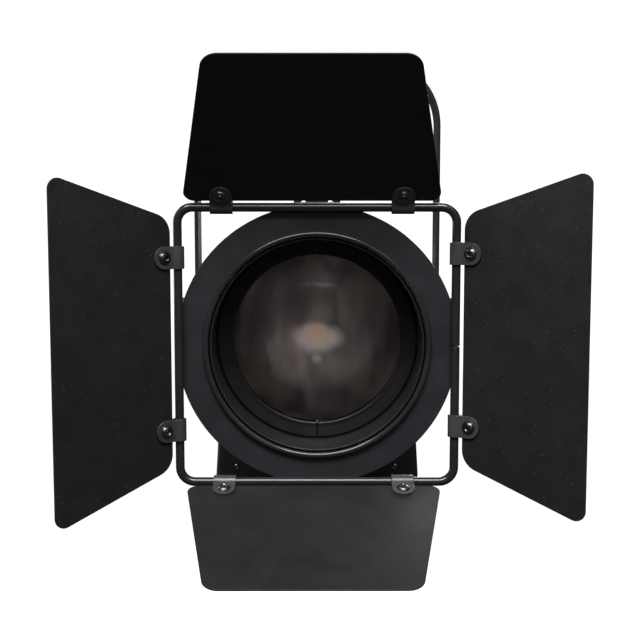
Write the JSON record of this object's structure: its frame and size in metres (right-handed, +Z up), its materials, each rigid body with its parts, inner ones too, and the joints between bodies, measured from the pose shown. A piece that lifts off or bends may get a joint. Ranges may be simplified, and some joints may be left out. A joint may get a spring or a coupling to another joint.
{
  "type": "ellipsoidal spotlight",
  "caption": "Black ellipsoidal stage spotlight in a flat-bar yoke, with framing shutters, a sliding lens carriage and rotating barn doors hinged on a rod frame.",
  "frame": {"origin": "centre of the hanging bolt hole, on the yoke's top face", "axes": "+Z up, +X to the right seen from in front of the lens looking along +Y, light leaves towards -Y"},
  "size_m": [0.3357, 0.4177, 0.351],
  "materials": {
    "satin_black": "satin powder coat, very fine texture",
    "inner_black": "matt black inside finish",
    "black_plastic": "moulded, fine matt texture",
    "blackened_steel": "black oxide, worn bright on edges",
    "bare_steel": "brushed zinc-plated steel",
    "shutter_steel": "rolled stainless sheet, moulded black grip",
    "bare_aluminium": "extruded aluminium",
    "mirror": "polished reflector",
    "lens_glass": "clear, coated, polished",
    "friction_fibre": "pressed fibre washer",
    "emitter": "phosphor on a white board",
    "display": "smoked gloss window"
  },
  "bodies": {
    "yoke": {"yoke": "satin_black", "pivot_washer_left": "friction_fibre", "pivot_washer_right": "friction_fibre"},
    "fixture": {"shutter_barrel": "satin_black", "lens_barrel": "satin_black", "accessory_holder": "satin_black", "pivot_stud_left": "bare_steel", "pivot_stud_right": "bare_steel", "gate_plate": "inner_black", "reflector": "mirror", "led_module": "emitter", "heat_sink": "bare_aluminium", "fan_frame": "black_plastic", "power_supply": "bare_aluminium", "lamp_house": "satin_black", "rear_cover": "satin_black", "display_window": "display", "power_inlet": "black_plastic", "data_in_socket": "black_plastic", "data_out_socket": "black_plastic", "safety_eye": "bare_steel"},
    "tilt_knob_left": {"tilt_knob_left": "black_plastic"},
    "tilt_knob_right": {"tilt_knob_right": "black_plastic"},
    "retaining_latch": {"retaining_latch": "satin_black"},
    "barn_doors": {"barn_door_disc": "satin_black", "barn_door_frame": "satin_black"},
    "lens_carriage": {"lens_carriage": "inner_black", "front_lens": "lens_glass", "lens_ring": "inner_black", "rear_lens": "lens_glass"},
    "focus_knob": {"focus_knob": "black_plastic"},
    "fan_rotor": {"fan_rotor": "black_plastic"},
    "leaf_top": {"leaf_top": "satin_black", "clip_top_a": "satin_black", "clip_top_b": "satin_black", "rivet_top_a": "blackened_steel", "rivet_top_b": "blackened_steel"},
    "shutter_top": {"shutter_top": "shutter_steel"},
    "leaf_right": {"leaf_right": "satin_black", "clip_right_a": "satin_black", "clip_right_b": "satin_black", "rivet_right_a": "blackened_steel", "rivet_right_b": "blackened_steel"},
    "shutter_right": {"shutter_right": "shutter_steel"},
    "leaf_bottom": {"leaf_bottom": "satin_black", "clip_bottom_a": "satin_black", "clip_bottom_b": "satin_black", "rivet_bottom_a": "blackened_steel", "rivet_bottom_b": "blackened_steel"},
    "shutter_bottom": {"shutter_bottom": "shutter_steel"},
    "leaf_left": {"leaf_left": "satin_black", "clip_left_a": "satin_black", "clip_left_b": "satin_black", "rivet_left_a": "blackened_steel", "rivet_left_b": "blackened_steel"},
    "shutter_left": {"shutter_left": "shutter_steel"},
    "menu_button_1": {"menu_button_1": "black_plastic"},
    "menu_button_2": {"menu_button_2": "black_plastic"},
    "menu_button_3": {"menu_button_3": "black_plastic"},
    "menu_button_4": {"menu_button_4": "black_plastic"}
  },
  "joints": [
    {"name": "tilt", "type": "hinge", "parent": "yoke", "child": "fixture", "pos_m": [0, 0, -0.205], "axis": [1, 0, 0], "range_deg": [-30, 90]},
    {"name": "tilt_knob_left_turn", "type": "hinge", "parent": "fixture", "child": "tilt_knob_left", "pos_m": [-0.1, 0, -0.205], "axis": [-1, 0, 0], "range_deg": [0, 360]},
    {"name": "tilt_knob_right_turn", "type": "hinge", "parent": "fixture", "child": "tilt_knob_right", "pos_m": [0.1, 0, -0.205], "axis": [1, 0, 0], "range_deg": [0, 360]},
    {"name": "latch_lift", "type": "hinge", "parent": "fixture", "child": "retaining_latch", "pos_m": [0, -0.124, -0.11], "axis": [-1, 0, 0], "range_deg": [0, 115], "stiffness_Nm_per_rad": 0.02, "springref_deg": -28.65},
    {"name": "barn_door_turn", "type": "hinge", "parent": "fixture", "child": "barn_doors", "pos_m": [0, -0.15, -0.205], "axis": [0, -1, 0], "continuous": true},
    {"name": "focus_slide", "type": "slide", "parent": "fixture", "child": "lens_carriage", "axis": [0, -1, 0], "range_m": [-0.01, 0.02]},
    {"name": "focus_knob_turn", "type": "hinge", "parent": "lens_carriage", "child": "focus_knob", "pos_m": [0.08, -0.09, -0.205], "axis": [1, 0, 0], "range_deg": [0, 360]},
    {"name": "fan_spin", "type": "hinge", "parent": "fixture", "child": "fan_rotor", "pos_m": [0, 0.118, -0.211], "axis": [0, 1, 0], "continuous": true},
    {"name": "leaf_top_hinge", "type": "hinge", "parent": "barn_doors", "child": "leaf_top", "pos_m": [0, -0.15, -0.1125], "axis": [-1, 0, 0], "range_deg": [-110, 42]},
    {"name": "leaf_bottom_hinge", "type": "hinge", "parent": "barn_doors", "child": "leaf_bottom", "pos_m": [0, -0.15, -0.2975], "axis": [1, 0, 0], "range_deg": [-92, 72]},
    {"name": "leaf_left_hinge", "type": "hinge", "parent": "barn_doors", "child": "leaf_left", "pos_m": [-0.0925, -0.15, -0.205], "axis": [0, 0, 1], "range_deg": [-40, 88]},
    {"name": "leaf_right_hinge", "type": "hinge", "parent": "barn_doors", "child": "leaf_right", "pos_m": [0.0925, -0.15, -0.205], "axis": [0, 0, -1], "range_deg": [-34, 94]},
    {"name": "shutter_top_slide", "type": "slide", "parent": "fixture", "child": "shutter_top", "axis": [0, 0, -1], "range_m": [0, 0.028]},
    {"name": "shutter_bottom_slide", "type": "slide", "parent": "fixture", "child": "shutter_bottom", "axis": [0, 0, 1], "range_m": [0, 0.028]},
    {"name": "shutter_left_slide", "type": "slide", "parent": "fixture", "child": "shutter_left", "axis": [1, 0, 0], "range_m": [0, 0.028]},
    {"name": "shutter_right_slide", "type": "slide", "parent": "fixture", "child": "shutter_right", "axis": [-1, 0, 0], "range_m": [0, 0.028]},
    {"name": "menu_button_1_press", "type": "slide", "parent": "fixture", "child": "menu_button_1", "axis": [0, -1, 0], "range_m": [0, 0.0012], "stiffness_N_per_m": 400, "springref_m": -0.001},
    {"name": "menu_button_2_press", "type": "slide", "parent": "fixture", "child": "menu_button_2", "axis": [0, -1, 0], "range_m": [0, 0.0012], "stiffness_N_per_m": 400, "springref_m": -0.001},
    {"name": "menu_button_3_press", "type": "slide", "parent": "fixture", "child": "menu_button_3", "axis": [0, -1, 0], "range_m": [0, 0.0012], "stiffness_N_per_m": 400, "springref_m": -0.001},
    {"name": "menu_button_4_press", "type": "slide", "parent": "fixture", "child": "menu_button_4", "axis": [0, -1, 0], "range_m": [0, 0.0012], "stiffness_N_per_m": 400, "springref_m": -0.001}
  ]
}
